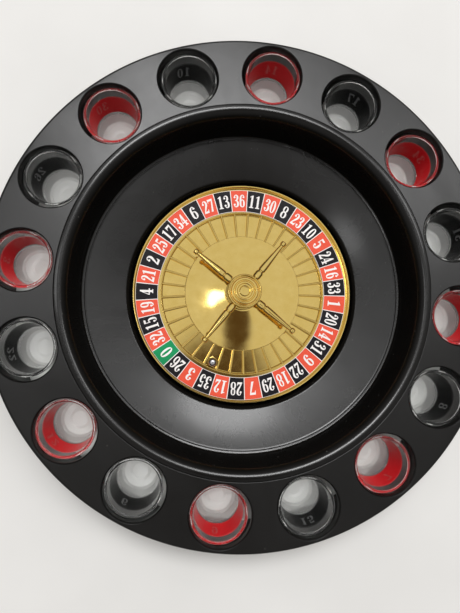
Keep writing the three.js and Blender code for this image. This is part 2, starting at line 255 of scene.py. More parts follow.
def prism_mesh(name, polygon, bottom, top):
    """A flat polygon in XY, pulled up from one height to another, all in millimetres."""
    bm = bmesh.new()
    base = [bm.verts.new((x * MM, y * MM, bottom * MM)) for x, y in polygon]
    lid = [bm.verts.new((x * MM, y * MM, top * MM)) for x, y in polygon]
    bm.faces.new(base[::-1])
    bm.faces.new(lid)
    for i in range(len(base)):
        n = (i + 1) % len(base)
        bm.faces.new([base[i], base[n], lid[n], lid[i]])
    return closed_mesh(bm, name)


def moved(mesh, matrix):
    copy = mesh.copy()
    copy.transform(matrix)
    return copy


def joined_mesh(name, pairs):
    """Several meshes in one, from (mesh, matrix) pairs."""
    bm = bmesh.new()
    for mesh, matrix in pairs:
        copy = moved(mesh, matrix)
        bm.from_mesh(copy)
        bpy.data.meshes.remove(copy)
    return mesh_of(bm, name)


def repeated_mesh(name, mesh, places):
    return joined_mesh(name, [(mesh, place) for place in places])


def new_object(name, mesh):
    thing = bpy.data.objects.new(name, mesh)
    bpy.context.scene.collection.objects.link(thing)
    return thing


def combined(name, base, *steps):
    """Joins or cuts meshes with booleans. Each step is ("UNION" or "DIFFERENCE", mesh)."""
    thing = new_object(name, base)
    tools = []
    for kind, mesh in steps:
        tool = new_object(name + "_tool", mesh)
        tools.append(tool)
        change = thing.modifiers.new(kind, "BOOLEAN")
        change.operation = kind
        change.solver = "MANIFOLD"
        change.object = tool
    evaluated = thing.evaluated_get(bpy.context.evaluated_depsgraph_get())
    result = bpy.data.meshes.new_from_object(evaluated)
    result.name = name
    for extra in tools + [thing]:
        bpy.data.objects.remove(extra)
    return result


def finished(name, mesh, material, body, nodes=(), sharp=32):
    """A mesh's object: smooth shading with crisp flats, its material, its body and what it stands for."""
    thing = new_object(name, mesh)
    mesh.shade_smooth()
    mesh.set_sharp_from_angle(angle=math.radians(sharp))
    weighted = thing.modifiers.new("flat faces stay flat", "WEIGHTED_NORMAL")
    weighted.keep_sharp = True
    weighted.weight = 100
    if material:
        mesh.materials.clear()
        mesh.materials.append(material)
    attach(thing, body)
    if nodes:
        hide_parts(*nodes)


def at(radius, angle, height=0.0):
    """The matrix that moves something out from the axis and turns it outward, in millimetres."""
    return Matrix.Translation(polar(radius, angle, height)) @ Matrix.Rotation(angle, 4, "Z")


# ------ material helpers

class Graph:
    """Short calls for the nodes of a tree."""

    def __init__(self, tree):
        self.tree = tree

    def add(self, kind, **values):
        """A node with its sockets and settings. A socket's name has _ for each space."""
        node = self.tree.nodes.new(kind)
        for key, value in values.items():
            socket = key.replace("_", " ")
            if socket in node.inputs:
                node.inputs[socket].default_value = value
            else:
                setattr(node, key, value)
        return node

    def link(self, source, target):
        self.tree.links.new(source, target)

    def put(self, socket, value):
        """A number or a colour is set on the socket, and an output is linked to it."""
        if isinstance(value, (int, float)):
            socket.default_value = value
        elif isinstance(value, tuple):
            socket.default_value = (*value, 1)
        else:
            self.link(value, socket)

    def spread(self, source, low, high, start=0.3, end=0.7, interpolation="LINEAR"):
        node = self.add("ShaderNodeMapRange", interpolation_type=interpolation,
                        From_Min=start, From_Max=end, To_Min=low, To_Max=high)
        self.link(source, node.inputs["Value"])
        return node.outputs["Result"]

    def math(self, operation, a, b):
        node = self.add("ShaderNodeMath", operation=operation)
        self.put(node.inputs[0], a)
        self.put(node.inputs[1], b)
        return node.outputs["Value"]

    def mix(self, factor, a, b):
        node = self.add("ShaderNodeMix", data_type="RGBA")
        self.put(node.inputs["Factor"], factor)
        self.put(node.inputs[6], a)
        self.put(node.inputs[7], b)
        return node.outputs[2]


class Nodes(Graph):
    """A new material with short calls for what its shader needs."""

    def __init__(self, name):
        self.material = bpy.data.materials.new(name)
        self.material.use_nodes = True
        super().__init__(self.material.node_tree)
        self.shader = self.tree.nodes["Principled BSDF"]
        self.output = self.tree.nodes["Material Output"]
        self.place = self.add("ShaderNodeTexCoord").outputs["Object"]

    def set(self, **values):
        for key, value in values.items():
            self.shader.inputs[key.replace("_", " ")].default_value = value

    def texture(self, kind, place=None, **values):
        node = self.add(kind, **values)
        self.link(place or self.place, node.inputs["Vector"])
        return node

    def noise(self, scale, detail=3.0, roughness=0.5, place=None, distortion=0.0):
        node = self.texture("ShaderNodeTexNoise", place, Scale=scale, Detail=detail,
                            Roughness=roughness, Distortion=distortion)
        return node.outputs["Fac"]

    def drive(self, socket, source):
        self.link(source, self.shader.inputs[socket])

    def paint(self, share, first, second):
        """The base colour runs from the first colour to the second."""
        self.drive("Base Color", self.mix(share, first, second))

    def bump(self, height, distance, strength=1.0, below=None):
        node = self.add("ShaderNodeBump", Distance=distance, Strength=strength)
        self.link(height, node.inputs["Height"])
        if below is not None:
            self.link(below, node.inputs["Normal"])
        return node.outputs["Normal"]


def black_plastic(name, roughness, seed_shift, specular, coat):
    """Satin black styrene: faint clouding, fine orange peel, a few dust specks and hairline scuffs."""
    m = Nodes(name)
    shifted = m.add("ShaderNodeVectorMath", operation="ADD")
    shifted.inputs[1].default_value = (seed_shift, seed_shift * 0.7, 0)
    m.link(m.place, shifted.inputs[0])
    place = shifted.outputs[0]
    cloud = m.noise(28, 4, 0.55, place)
    peel = m.noise(900, 2, 0.5, place)
    scuff = m.noise(14.0, 8.0, 0.7, place, 1.2)
    speck = m.texture("ShaderNodeTexVoronoi", place, Scale=130.0)
    dust = m.math("LESS_THAN", speck.outputs["Distance"], 0.034)
    body = m.mix(m.spread(cloud, 0, 1), (0.0018, 0.0016, 0.0014), (0.0031, 0.0028, 0.0025))
    m.paint(m.math("MULTIPLY", dust, 0.2), body, (0.26, 0.25, 0.23))
    satin = m.spread(scuff, roughness - 0.035, roughness + 0.055)
    m.drive("Roughness", m.math("ADD", satin, m.math("MULTIPLY", dust, 0.3)))
    wave = m.bump(cloud, 0.0006, 0.2)
    m.drive("Normal", m.bump(peel, 0.00002, 0.5, wave))
    m.set(IOR=1.46, Specular_IOR_Level=specular, Coat_Weight=coat, Coat_Roughness=0.1)
    return m.material


def gold_plate(name, roughness=0.09):
    """Vacuum-plated plastic: mirror gold with slow waves, fine haze and rub marks."""
    m = Nodes(name)
    haze = m.noise(160, 5, 0.6)
    wave = m.noise(45, 2, 0.4)
    grain = m.noise(2600, 2, 0.5)
    m.paint(m.spread(haze, 0, 1), (0.87, 0.630, 0.185), (0.93, 0.695, 0.235))
    m.drive("Roughness", m.spread(haze, roughness - 0.02, roughness + 0.035))
    slow = m.bump(wave, 0.0005, 0.06)
    m.drive("Normal", m.bump(grain, 0.000005, 0.4, slow))
    m.set(Metallic=1.0)
    return m.material


def print_ink(name, color, darker):
    """Screen-printed ink under a thin laminate: tiny mottling and a soft gloss."""
    m = Nodes(name)
    mottle = m.noise(1500, 3, 0.6)
    cloud = m.noise(90, 2, 0.5)
    both = m.math("MULTIPLY", m.math("ADD", mottle, cloud), 0.5)
    m.paint(m.spread(both, 0, 1, 0.38, 0.62), darker, color)
    m.drive("Roughness", m.spread(cloud, 0.46, 0.58))
    m.drive("Normal", m.bump(mottle, 0.000008, 0.4))
    m.set(Specular_IOR_Level=0.14)
    return m.material


def polished_steel(name, roughness, tone=0.65):
    """Steel with a faint smear in its tone and its gloss."""
    m = Nodes(name)
    smear = m.noise(300, 4, 0.6)
    low, high = tone * 0.86, tone * 1.14
    m.paint(m.spread(smear, 0, 1), (low, low * 0.98, low * 1.02), (high, high * 0.98, high))
    m.drive("Roughness", m.spread(smear, roughness, roughness + 0.08))
    m.drive("Normal", m.bump(m.noise(1200, 2), 0.000006, 0.4))
    m.set(Metallic=1.0)
    return m.material


def mottled(name, noise, first, second, gloss, bump, share=(0.3, 0.7), **settings):
    """A plain material whose colour, gloss and surface all follow one fine noise."""
    m = Nodes(name)
    grain = m.noise(*noise)
    m.paint(m.spread(grain, 0, 1, *share), first, second)
    m.drive("Roughness", m.spread(grain, *gloss))
    m.drive("Normal", m.bump(grain, *bump))
    m.set(**settings)
    return m.material


GLASS_IOR = 1.5
PAINTED_GLASS_IOR = 1.12  # lower, so that the wall over the paint mirrors the foot less
FOOT_HAZE = 0.32  # share of the light that the foot scatters
HAZE_FADE = ((BAND_BOTTOM - 2.4) * MM, (BAND_BOTTOM - 0.2) * MM)  # it ends just below the paint


def clear_glass(name, ior):
    """Pressed glass: faint waves, a haze below the paint, and shadows that let light through."""
    m = Nodes(name)
    m.set(IOR=ior, Roughness=0.0, Specular_IOR_Level=0.07)
    m.shader.inputs["Base Color"].default_value = (0.985, 0.98, 0.97, 1)
    wave = m.noise(120, 2, 0.4)
    split = m.add("ShaderNodeSeparateXYZ")
    m.link(m.place, split.inputs[0])
    m.drive("Transmission Weight", m.spread(split.outputs["Z"], 1 - FOOT_HAZE, 1.0, *HAZE_FADE))
    m.drive("Roughness", m.spread(wave, 0.0, 0.03))
    m.drive("Normal", m.bump(wave, 0.0004, 0.12))
    path = m.add("ShaderNodeLightPath")
    clear = m.add("ShaderNodeBsdfTransparent")
    clear.inputs["Color"].default_value = (0.93, 0.95, 0.94, 1)
    blend = m.add("ShaderNodeMixShader")
    m.link(path.outputs["Is Shadow Ray"], blend.inputs[0])
    m.link(m.shader.outputs[0], blend.inputs[1])
    m.link(clear.outputs[0], blend.inputs[2])
    m.link(blend.outputs[0], m.output.inputs["Surface"])
    return m.material


def enamel(name, color, darker):
    """Fired enamel that touches the glass, which gives it its gloss. Its colour is slightly uneven."""
    return mottled(name, (650, 4, 0.6), darker, color, (0.18, 0.3), (0.00001, 0.4), (0.35, 0.65),
                   Specular_IOR_Level=0.0)


DECK_PLASTIC = black_plastic("deck plastic", 0.32, 0.0, 0.28, 0.0)
BOWL_PLASTIC = black_plastic("bowl plastic", 0.26, 3.1, 0.17, 0.14)
GOLD = gold_plate("gold plate")
TURRET_GOLD = gold_plate("turret gold plate", 0.06)
FRET_GOLD = gold_plate("rubbed gold plate", 0.34)
STEEL = polished_steel("zinc steel", 0.22)
BALL_STEEL = polished_steel("polished ball steel", 0.13, 0.50)
BRONZE = mottled("sintered bronze", (2200, 4, 0.7), (0.30, 0.18, 0.09), (0.52, 0.34, 0.17),
                 (0.3, 0.5), (0.00002, 0.5), Metallic=1.0)
NYLON = mottled("natural nylon", (700, 3, 0.5), (0.72, 0.69, 0.60), (0.83, 0.80, 0.72),
                (0.45, 0.6), (0.00001, 0.5), Subsurface_Weight=0.15)
GLASS = clear_glass("clear glass", GLASS_IOR)
PAINTED_GLASS = clear_glass("glass over paint", PAINTED_GLASS_IOR)
RED_INK = print_ink("red ink", (0.84, 0.112, 0.060), (0.75, 0.085, 0.045))
BLACK_INK = print_ink("black ink", (0.010, 0.008, 0.011), (0.006, 0.005, 0.007))
GREEN_INK = print_ink("green ink", (0.010, 0.300, 0.110), (0.006, 0.230, 0.080))
WHITE_INK = print_ink("white ink", (0.92, 0.89, 0.87), (0.84, 0.80, 0.78))
RED_ENAMEL = enamel("red enamel", (0.520, 0.010, 0.014), (0.440, 0.007, 0.011))
BLACK_ENAMEL = enamel("black enamel", (0.008, 0.008, 0.008), (0.004, 0.004, 0.004))
WHITE_ENAMEL = enamel("white enamel", (0.80, 0.78, 0.74), (0.66, 0.64, 0.61))
FAINT_ON_BLACK = enamel("faint numeral on black", (0.20, 0.20, 0.20), (0.10, 0.10, 0.10))
FAINT_ON_RED = enamel("faint numeral on red", (0.52, 0.10, 0.09), (0.40, 0.05, 0.05))


# ------ deck

def make_deck():
    underside = DECK_TOP - DECK_PLATE
    ledge = DECK_TOP - LEDGE_DROP
    collar = LEDGE_RADIUS + SKIRT_WALL
    tube_wall = HOLE_RADIUS + HOLE_TUBE_WALL
    shell = turned_mesh("deck shell", [
        (DECK_RADIUS - SKIRT_DRAFT, 0, 0.3),
        (DECK_RADIUS, DECK_TOP - 4),
        (DECK_RADIUS, DECK_TOP, DECK_EDGE_ROUND),
        (SEAM_RADIUS, DECK_TOP, 0.45),
        (SEAM_RADIUS, ledge),
        (LEDGE_RADIUS, ledge, 0.3),
        (LEDGE_RADIUS, COLLAR_FOOT, 0.3),
        (collar, COLLAR_FOOT, 0.3),
        (collar, ledge - DECK_PLATE, 0.4),
        (SEAM_RADIUS + DECK_PLATE, ledge - DECK_PLATE, 0.4),
        (SEAM_RADIUS + DECK_PLATE, underside, 0.4),
        (DECK_RADIUS - SKIRT_WALL, underside, 0.8),
        (DECK_RADIUS - SKIRT_DRAFT - SKIRT_WALL, 0, 0.3),
    ], DISH_FACETS)
    tube_foot = DECK_TOP - HOLE_DEPTH
    tube = turned_mesh("tube", [
        (0, tube_foot),
        (tube_wall, tube_foot, 0.3),
        (tube_wall, underside + 0.3),
        (0, underside + 0.3),
    ])
    cutter = turned_mesh("cutter", [
        (0, tube_foot - 2),
        (HOLE_RADIUS + 2.0, tube_foot - 2),
        (HOLE_RADIUS + 0.5, tube_foot - 0.2),
        (HOLE_RADIUS + 0.06, tube_foot + 0.4, 0.4),
        (HOLE_RADIUS, DECK_TOP - 0.7, 0.5),
        (HOLE_RADIUS + 0.75, DECK_TOP + 0.001, 0.5),
        (HOLE_RADIUS + 2.5, DECK_TOP + 0.5),
        (0, DECK_TOP + 1),
    ])
    spots = [at(HOLE_CIRCLE_RADIUS, angle) for angle in around(GLASS_COUNT, FIRST_GLASS_ANGLE)]
    tubes = repeated_mesh("tubes", tube, spots)
    cutters = repeated_mesh("cutters", cutter, spots)
    mesh = combined("deck", shell, ("UNION", tubes), ("DIFFERENCE", cutters))
    finished("deck", mesh, DECK_PLASTIC, "root", ["deck_ring"], sharp=40)


# ------ bowl

LIP_CREST_RADIUS = 102.7
LIP_CREST_ROUND = 5.0
LIP_OUTER_DROP = 0.35  # the lip's outer edge lies this far below the crest
LIP_INNER_RADIUS = 99.4  # where the lip turns down into the wall
LIP_INNER_DROP = 2.6
LIP_INNER_ROUND = 4.5


def make_bowl():
    flange = DECK_TOP - LEDGE_DROP + FIT
    shell = turned_mesh("bowl shell", [
        (SPINDLE_RADIUS + FIT, BOSS_FOOT),
        (BOSS_RADIUS - 1, BOSS_FOOT, 0.4),
        (BOSS_RADIUS, WELL_FLOOR - BOWL_WALL, 0.8),
        (WELL_RADIUS + BOWL_WALL, WELL_FLOOR - BOWL_WALL, 1.5),
        (WELL_RADIUS + BOWL_WALL + 0.8, WELL_EDGE_HEIGHT - BOWL_WALL, 1.0),
        (TRACK_RADIUS + 0.6, TRACK_HEIGHT - BOWL_WALL, 1.0),
        (TRACK_RADIUS + BOWL_WALL, TRACK_HEIGHT - 1, 0.8),
        (LEDGE_RADIUS - FIT, flange, 0.3),
        (LIP_RADIUS, flange),
        (LIP_RADIUS, LIP_CREST - LIP_OUTER_DROP, 0.6),
        (LIP_CREST_RADIUS, LIP_CREST, LIP_CREST_ROUND),
        (LIP_INNER_RADIUS, LIP_CREST - LIP_INNER_DROP, LIP_INNER_ROUND),
        (TRACK_RADIUS, TRACK_HEIGHT + 0.3, 0.9),
        (TRACK_EDGE_RADIUS + 0.5, TRACK_HEIGHT - 0.05, 0.4),
        (TRACK_EDGE_RADIUS, TRACK_HEIGHT + 0.12, 0.3),
        (TRACK_EDGE_RADIUS - 0.7, TRACK_HEIGHT - 0.1, 0.8),
        (WELL_RADIUS + 2.0, WELL_EDGE_HEIGHT + 0.45, 1.6),
        (WELL_RADIUS + 0.5, WELL_EDGE_HEIGHT - 1.2, 0.6),
        (WELL_RADIUS, WELL_FLOOR, 1.2),
        (BOSS_RADIUS + 0.6, WELL_FLOOR, 0.5),
        (BOSS_RADIUS, BOSS_TOP, 0.3),
        (SPINDLE_RADIUS + FIT, BOSS_TOP, 0.2),
    ], DISH_FACETS)
    tab = prism_mesh("tab", [(-2, -4), (1.4, -4), (2, -3.2), (2, 3.2), (1.4, 4), (-2, 4)],
                     COLLAR_FOOT - 2.8, COLLAR_FOOT - 0.6)
    tabs = repeated_mesh("tabs", tab, [at(LEDGE_RADIUS - 0.8, angle) for angle in around(SNAP_COUNT)])
    mesh = combined("bowl_dish", shell, ("UNION", tabs))
    finished("bowl_dish", mesh, BOWL_PLASTIC, "root", ["bowl"])


# ------ rotor

FIRST_FRET_ANGLE = ZERO_ANGLE + SECTOR / 2
CONE_LOWER_BEND = (28, 18.5)
CONE_UPPER_BEND = (20, 19.85)
CONE_ROUND = 200  # large, so that the cone's bends run into each other


def make_rotor():
    under_pocket = POCKET_FLOOR - ROTOR_PLATE
    under_seat = NUMBER_SEAT - ROTOR_PLATE
    rim_inside = ROTOR_RADIUS - ROTOR_PLATE
    disc = turned_mesh("rotor disc", [
        (ROTOR_BORE, BOSS_TOP + 1),
        (CONE_TOP_RADIUS, BOSS_TOP + 1, 0.5),
        (CONE_TOP_RADIUS + 1, CONE_TOP - ROTOR_PLATE, 1),
        (POCKET_INNER - ROTOR_PLATE, CONE_FOOT - ROTOR_PLATE, 0.5),
        (POCKET_INNER - ROTOR_PLATE, under_pocket, 0.3),
        (POCKET_OUTER + ROTOR_PLATE, under_pocket, 0.5),
        (POCKET_OUTER + ROTOR_PLATE, under_seat, 0.4),
        (rim_inside, under_seat, 0.4),
        (rim_inside, ROTOR_FOOT, 0.3),
        (ROTOR_RADIUS, ROTOR_FOOT, 0.3),
        (ROTOR_RADIUS, ROTOR_RIM_TOP, 0.24),
        (NUMBER_OUTER + 0.05, ROTOR_RIM_TOP, 0.24),
        (NUMBER_OUTER - 0.05, NUMBER_SEAT, 0.3),
        (NUMBER_INNER, NUMBER_SEAT, 0.1),
        (NUMBER_INNER - 0.1, FRET_TOP + 0.8, 0.28),
        (POCKET_OUTER + 0.02, FRET_TOP + 0.75, 0.28),
        (POCKET_OUTER - 0.2, POCKET_FLOOR - 0.1, 0.5),
        (POCKET_INNER + 0.15, POCKET_FLOOR + 0.1, 0.2),
        (POCKET_INNER, CONE_FOOT + 0.05, 0.3),
        (*CONE_LOWER_BEND, CONE_ROUND),
        (*CONE_UPPER_BEND, CONE_ROUND),
        (CONE_TOP_RADIUS + 0.4, CONE_TOP, 0.6),
        (ROTOR_BORE, CONE_TOP),
    ], POCKET_COUNT * 8, phase=FIRST_FRET_ANGLE)
    mesh = combined("rotor_disc", disc, ("UNION", frets_mesh()), ("DIFFERENCE", screw_holes_mesh()))
    finished("rotor_disc", mesh, GOLD, "wheel", ["rotor"], sharp=38)
    rub_frets(mesh)


FRET_ARC_STEPS = 8
FRET_TAPER = 0.86  # width of the top, as a share of the foot's
FRET_CROWN = 0.6  # height of the rounded top
FRET_SWELL = [(POCKET_INNER - 0.55, 0.80), (POCKET_INNER + 1.5, 0.86),
              (POCKET_OUTER - 1.5, 1.0), (POCKET_OUTER + 0.35, 1.08)]


def frets_mesh():
    """The ridges between pockets: a rounded section pulled outward, a little fatter at the outer wall."""
    half = FRET_WIDTH / 2
    sunk, foot = POCKET_FLOOR - 0.6, POCKET_FLOOR + 0.4
    section = [(-half - 0.1, sunk), (half + 0.1, sunk), (half, foot)]
    for k in range(FRET_ARC_STEPS + 1):
        angle = math.pi * k / FRET_ARC_STEPS
        across = half * FRET_TAPER * math.cos(angle)
        section.append((across, FRET_TOP + FRET_CROWN * (math.sin(angle) - 1)))
    section.append((-half, foot))
    bm = bmesh.new()
    rings = []
    for radius, swell in FRET_SWELL:
        rings.append([bm.verts.new((radius * MM, y * swell * MM, z * MM)) for y, z in section])
    for near, far in zip(rings, rings[1:]):
        for k in range(len(section)):
            n = (k + 1) % len(section)
            bm.faces.new([near[k], near[n], far[n], far[k]])
    bm.faces.new(rings[0][::-1])
    bm.faces.new(rings[-1])
    fret = closed_mesh(bm, "fret")
    turns = [Matrix.Rotation(FIRST_FRET_ANGLE + SECTOR * i, 4, "Z") for i in range(POCKET_COUNT)]
    return repeated_mesh("frets", fret, turns)


RUBBED_DEPTH = 0.7  # the ball rubs a fret this far down from its top
LARGEST_FRET_FACE = 40  # square millimetres; larger faces belong to the disc


def rub_frets(mesh):
    """The tops of the frets are rubbed by the ball, so they take the second, duller gold."""
    mesh.materials.append(FRET_GOLD)
    for face in mesh.polygons:
        middle = face.center / MM
        high_enough = middle.z > FRET_TOP - RUBBED_DEPTH
        over_pocket = POCKET_INNER - 0.4 < middle.xy.length < POCKET_OUTER - 0.3
        if high_enough and over_pocket and face.area < LARGEST_FRET_FACE * MM * MM:
            face.material_index = 1


FIRST_SCREW_ANGLE = math.radians(5.4)
SCREW_PLACES = [at(SCREW_CIRCLE, angle) for angle in around(SCREW_COUNT, FIRST_SCREW_ANGLE)]
SCREW_HEAD_HOLE = 2.1
SCREW_HOLE = 1.2
SCREW_HEAD_DEPTH = 3.2


def screw_holes_mesh():
    hole = turned_mesh("screw hole", [
        (0, BOSS_TOP),
        (SCREW_HEAD_HOLE, BOSS_TOP),
        (SCREW_HEAD_HOLE, BOSS_TOP + SCREW_HEAD_DEPTH),
        (SCREW_HOLE, BOSS_TOP + SCREW_HEAD_DEPTH),
        (SCREW_HOLE, CONE_TOP + 1),
        (0, CONE_TOP + 1),
    ], 32)
    return repeated_mesh("screw holes", hole, SCREW_PLACES)


# ------ numerals

GLYPH_STEPS = 20  # along half an ellipse
STROKE_STEPS = 8  # between two points of a stroke
DIGIT_WIDTH = 0.5  # of a digit's height


def ellipse(x, y, rx, ry, power=2.25):
    """A slightly squared ellipse, counter-clockwise."""
    points = []
    for k in range(2 * GLYPH_STEPS):
        c = math.cos(math.pi * k / GLYPH_STEPS)
        s = math.sin(math.pi * k / GLYPH_STEPS)
        points.append((x + rx * math.copysign(abs(c) ** (2 / power), c),
                       y + ry * math.copysign(abs(s) ** (2 / power), s)))
    return points


def stroke(points, widths):
    """A smooth pen stroke through some points, whose width changes along it."""
    line = [Vector((*p, w)) for p, w in zip(points, widths)]
    line = [2 * line[0] - line[1]] + line + [2 * line[-1] - line[-2]]
    path = []
    for a, b, c, d in zip(line, line[1:], line[2:], line[3:]):
        for k in range(STROKE_STEPS):
            t = k / STROKE_STEPS
            path.append(0.5 * (2 * b + (c - a) * t + (2 * a - 5 * b + 4 * c - d) * t ** 2
                               + (3 * b - a - 3 * c + d) * t ** 3))
    path.append(line[-2])
    left, right = [], []
    for i, p in enumerate(path):
        along = path[min(i + 1, len(path) - 1)] - path[max(i - 1, 0)]
        side = Vector((-along.y, along.x)).normalized() * p.z / 2
        left.append((p.x + side.x, p.y + side.y))
        right.append((p.x - side.x, p.y - side.y))
    return right + left[::-1]


def flipped(shapes):
    """The shapes turned upside down in the digit's box."""
    return [[(DIGIT_WIDTH - x, 1 - y) for x, y in shape] for shape in shapes]


SIX = [ellipse(0.25, 0.31, 0.235, 0.31),
       stroke([(0.41, 0.79), (0.37, 0.92), (0.27, 0.965), (0.13, 0.82), (0.10, 0.5), (0.10, 0.33)],
              [0.07, 0.07, 0.07, 0.14, 0.165, 0.15]),
       ellipse(0.385, 0.80, 0.085, 0.07)]
SIX_HOLE = [ellipse(0.255, 0.31, 0.085, 0.245)]

# Each digit is (shapes joined together, shapes cut out), in a box half as wide as it is high.
DIGITS = {
    "0": ([ellipse(0.25, 0.5, 0.24, 0.5)], [ellipse(0.25, 0.5, 0.085, 0.435)]),
    "1": ([[(0.06, 0), (0.45, 0), (0.45, 0.06), (0.345, 0.085), (0.345, 1), (0.27, 1), (0.06, 0.88),
            (0.06, 0.83), (0.17, 0.85), (0.17, 0.085), (0.06, 0.06)]], []),
    "2": ([stroke([(0.10, 0.74), (0.13, 0.90), (0.25, 0.965), (0.38, 0.86), (0.385, 0.66), (0.24, 0.38),
                   (0.08, 0.09)], [0.07, 0.065, 0.07, 0.15, 0.17, 0.13, 0.07]),
           ellipse(0.12, 0.745, 0.09, 0.075),
           [(0.03, 0), (0.45, 0), (0.48, 0.27), (0.44, 0.27), (0.39, 0.16), (0.14, 0.15), (0.03, 0.08)]], []),
    "3": ([stroke([(0.09, 0.80), (0.13, 0.92), (0.24, 0.965), (0.365, 0.87), (0.36, 0.68), (0.27, 0.56),
                   (0.16, 0.53)], [0.07, 0.065, 0.07, 0.15, 0.16, 0.09, 0.06]),
           stroke([(0.16, 0.53), (0.30, 0.51), (0.395, 0.39), (0.39, 0.15), (0.25, 0.035), (0.13, 0.08),
                   (0.09, 0.20)], [0.06, 0.09, 0.165, 0.17, 0.07, 0.065, 0.07]),
           ellipse(0.115, 0.79, 0.085, 0.07),
           ellipse(0.115, 0.215, 0.09, 0.075)], []),
    "4": ([[(0.27, 1), (0.37, 1), (0.37, 0.34), (0.49, 0.34), (0.49, 0.25), (0.37, 0.25), (0.37, 0.07),
            (0.45, 0.05), (0.45, 0), (0.13, 0), (0.13, 0.05), (0.21, 0.07), (0.21, 0.25), (0.01, 0.25),
            (0.01, 0.32)]], [[(0.21, 0.34), (0.21, 0.74), (0.075, 0.34)]]),
    "5": ([[(0.09, 1), (0.43, 1), (0.40, 0.85), (0.15, 0.85), (0.15, 0.56), (0.09, 0.50)][::-1],
           stroke([(0.11, 0.54), (0.23, 0.62), (0.36, 0.55), (0.40, 0.32), (0.36, 0.12), (0.24, 0.035),
                   (0.13, 0.08), (0.09, 0.20)], [0.07, 0.08, 0.14, 0.17, 0.14, 0.07, 0.065, 0.07]),
           ellipse(0.115, 0.215, 0.09, 0.075)], []),
    "6": (SIX, SIX_HOLE),
    "7": ([[(0.03, 1), (0.48, 1), (0.48, 0.92), (0.29, 0), (0.11, 0), (0.37, 0.84), (0.10, 0.84),
            (0.07, 0.70), (0.03, 0.70)][::-1]], []),
    "8": ([ellipse(0.25, 0.745, 0.205, 0.255), ellipse(0.25, 0.275, 0.235, 0.275)],
          [ellipse(0.25, 0.755, 0.080, 0.19), ellipse(0.25, 0.265, 0.090, 0.205)]),
    "9": (flipped(SIX), flipped(SIX_HOLE)),
}


def digit_mesh(character):
    """One digit as a plate one millimetre high and one thick, ready to be scaled."""
    added, removed = DIGITS[character]
    plates = [prism_mesh("plate", shape, 0, 1) for shape in added]
    steps = [("UNION", plate) for plate in plates[1:]]
    steps += [("DIFFERENCE", prism_mesh("hole", shape, -1, 2)) for shape in removed]
    return combined("digit " + character, plates[0], *steps)


DIGIT_MESHES = {character: digit_mesh(character) for character in DIGITS}


def number_parts(text, height, thickness, squeeze, gap=0.04):
    """The digits of a number as (mesh, matrix) pairs, centred on the origin and read along +X."""
    parts = []
    width = DIGIT_WIDTH * squeeze
    total = len(text) * width + (len(text) - 1) * gap
    for i, character in enumerate(text):
        x = (-total / 2 + i * (width + gap)) * height
        move = Matrix.Translation((x * MM, -height / 2 * MM, 0))
        size = Matrix.Diagonal((height * squeeze, height, thickness, 1))
        parts.append((DIGIT_MESHES[character], move @ size))
    return parts


# ------ number ring

def sector_angle(index):
    """The middle of a pocket. The numbers follow each other clockwise."""
    return ZERO_ANGLE - SECTOR * index


def ring_place():
    """The printed ring is stuck down a little off centre and a little turned."""
    away = Vector((math.cos(NUMBER_RING_SHIFT_ANGLE), math.sin(NUMBER_RING_SHIFT_ANGLE), 0))
    return Matrix.Translation(away * NUMBER_RING_SHIFT * MM) @ Matrix.Rotation(NUMBER_RING_TURN, 4, "Z")


def ink_of(number):
    if number == 0:
        return GREEN_INK
    return RED_INK if number in RED_NUMBERS else BLACK_INK


RING_THICKNESS = 0.5
INNER_LINE = 0.22  # white line along the ring's inner edge
OUTER_LINE = 0.18
SECTOR_LINE = 0.22  # half of the white line between two sectors
SECTOR_LINE_RADIUS = 58  # where that line is measured
SECTOR_STEPS = 8
RING_INKS = [WHITE_INK, RED_INK, BLACK_INK, GREEN_INK]


def sector_shares():
    """Where a sector is cut, from -0.5 to 0.5: at its two white lines and along its inked stretch."""
    line = SECTOR_LINE / SECTOR_LINE_RADIUS / SECTOR
    inked = 1 - 2 * line
    return [-0.5] + [-0.5 + line + inked * k / SECTOR_STEPS for k in range(SECTOR_STEPS + 1)]


def number_ring_mesh():
    """The printed ring. Its top is inked, with white lines between sectors and along both edges."""
    inner, outer = NUMBER_RING_INNER, NUMBER_RING_OUTER
    radii = [inner, inner + INNER_LINE, outer - OUTER_LINE, outer]
    shares = sector_shares()
    bm = bmesh.new()
    grid = []
    for index in range(POCKET_COUNT):
        for share in shares:
            angle = sector_angle(-index) + SECTOR * share
            top = [bm.verts.new(polar(r, angle, NUMBER_TOP)) for r in radii]
            low = [bm.verts.new(polar(r, angle, NUMBER_TOP - RING_THICKNESS)) for r in (inner, outer)]
            grid.append((top, low))
    for c, (top, low) in enumerate(grid):
        next_top, next_low = grid[(c + 1) % len(grid)]
        index, position = divmod(c, len(shares))
        number = WHEEL_ORDER[-index % POCKET_COUNT]
        inked = 0 < position < len(shares) - 1
        for k in range(3):
            face = bm.faces.new([top[k], top[k + 1], next_top[k + 1], next_top[k]])
            face.material_index = RING_INKS.index(ink_of(number)) if inked and k == 1 else 0
        bm.faces.new([low[0], top[0], next_top[0], next_low[0]])
        bm.faces.new([top[3], low[1], next_low[1], next_top[3]])
        bm.faces.new([low[1], low[0], next_low[0], next_low[1]])
    return moved(closed_mesh(bm, "number_sectors"), ring_place())


def make_number_ring():
    mesh = number_ring_mesh()
    for ink in RING_INKS:
        mesh.materials.append(ink)
    finished("number_sectors", mesh, None, "wheel", ["number_ring"])


NUMERAL_HEIGHT = 8.0
NUMERAL_MIDDLE = 58.1
NUMERAL_SQUEEZE = 0.86  # two digits are drawn narrower than one
INK_THICKNESS = 0.04
INK_SINK = 0.01  # the ink reaches this far into the card


